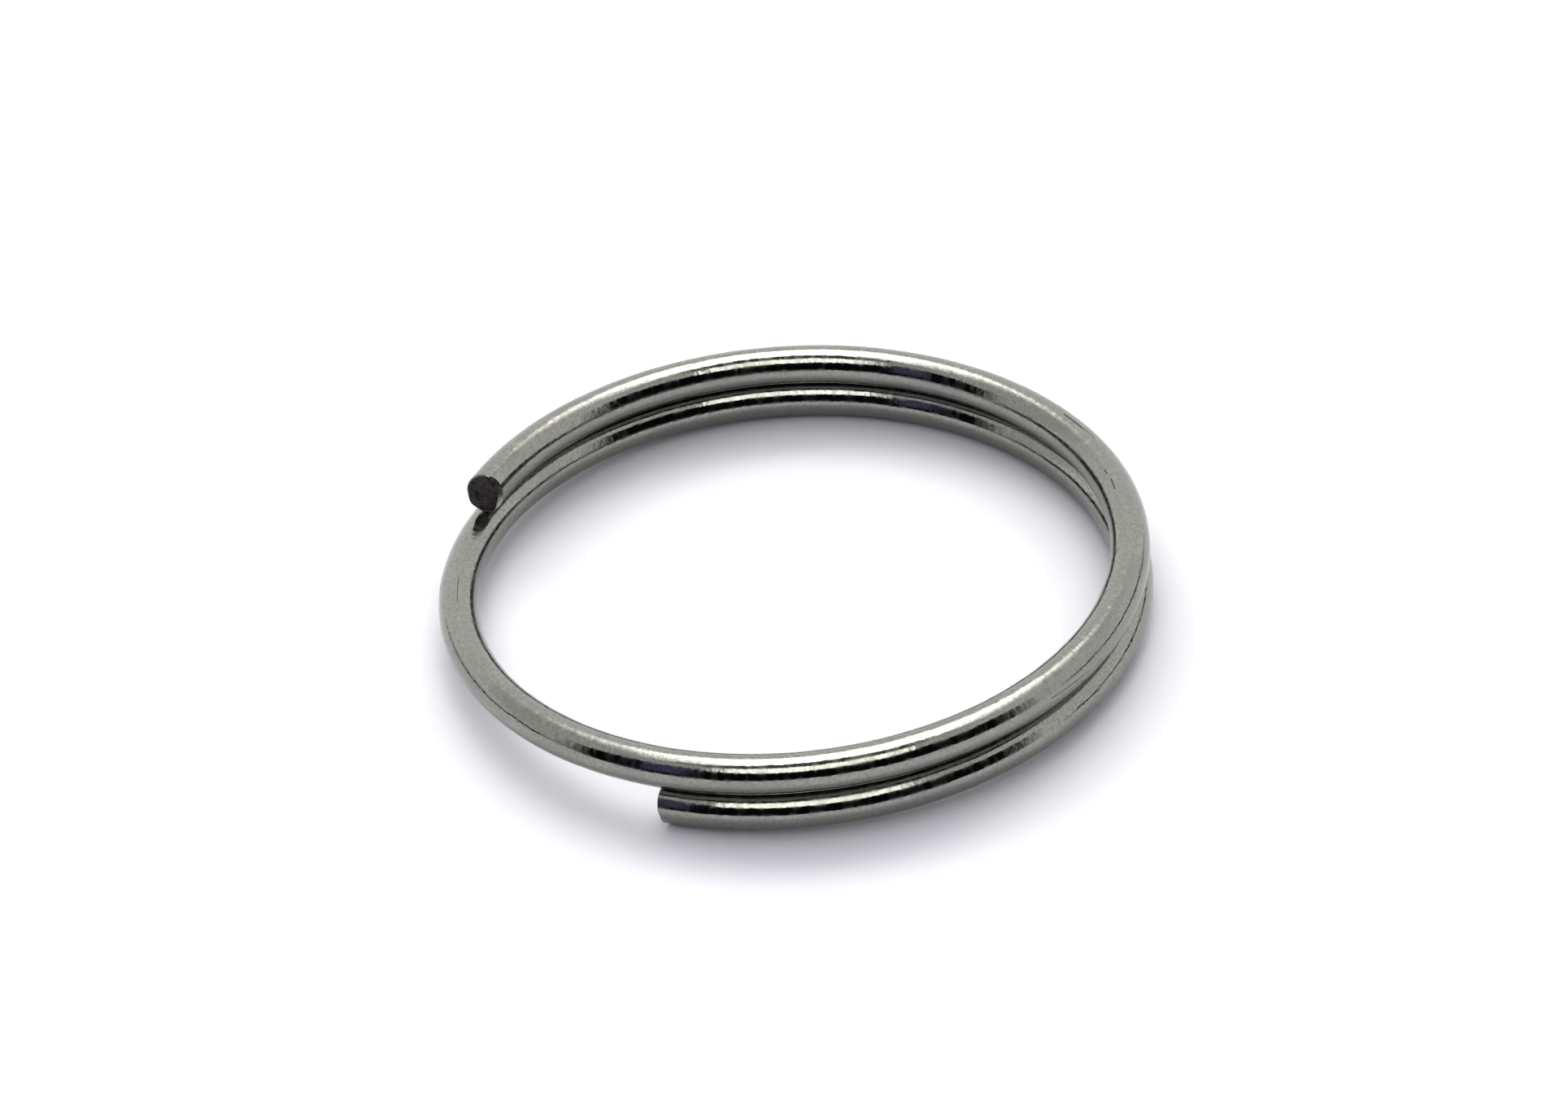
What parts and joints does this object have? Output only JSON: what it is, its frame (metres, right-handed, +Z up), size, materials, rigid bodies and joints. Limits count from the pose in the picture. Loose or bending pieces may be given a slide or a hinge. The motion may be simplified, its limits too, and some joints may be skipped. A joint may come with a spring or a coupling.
{
  "type": "split key ring",
  "caption": "Round-wire split ring: spring wire wound in a flat coil whose two overlapping ends prise apart to take a key.",
  "frame": {"origin": "centre of the ring's outline on the surface it lies on", "axes": "+Z up, across the flat of the ring as it lies; -Y towards the side from which both ends show; the upper end lies at the left and back, at about 156 degrees anticlockwise from +X, and the lower end at the front, at about -115 degrees"},
  "size_m": [0.025, 0.025, 0.0033],
  "materials": {
    "nickel_plating": "bright nickel plate over drawn steel wire, fine draw lines, light handling scratches",
    "cut_steel": "sheared bare steel, dull, with a broken edge"
  },
  "bodies": {
    "lower_leaf": {"lower_cut_end": "cut_steel", "lower_tip": "nickel_plating", "lower_leaf_1": "nickel_plating", "lower_leaf_2": "nickel_plating", "lower_leaf_3": "nickel_plating", "lower_leaf_4": "nickel_plating"},
    "middle": {"lower_coil_back_1": "nickel_plating", "lower_coil_back_2": "nickel_plating", "lower_coil_back_3": "nickel_plating", "lower_coil_back_4": "nickel_plating", "crossover_1": "nickel_plating", "crossover_2": "nickel_plating", "crossover_3": "nickel_plating", "upper_coil_front_1": "nickel_plating", "upper_coil_front_2": "nickel_plating", "upper_coil_front_3": "nickel_plating", "upper_coil_front_4": "nickel_plating"},
    "upper_leaf": {"upper_leaf_4": "nickel_plating", "upper_leaf_3": "nickel_plating", "upper_leaf_2": "nickel_plating", "upper_leaf_1": "nickel_plating", "upper_tip": "nickel_plating", "upper_cut_end": "cut_steel"}
  },
  "joints": [
    {"name": "lower_end_opens", "type": "hinge", "parent": "lower_leaf", "child": "middle", "pos_m": [0.00961, 0.00687, 0.00074], "axis": [-0.5807, 0.814, -0.0132], "range_deg": [0, 7.8], "stiffness_Nm_per_rad": 1.5},
    {"name": "upper_end_opens", "type": "hinge", "parent": "middle", "child": "upper_leaf", "pos_m": [0.0117, 0.0012, 0.00227], "axis": [-0.097, 0.9951, -0.0171], "range_deg": [0, 7.8], "stiffness_Nm_per_rad": 1.48}
  ]
}
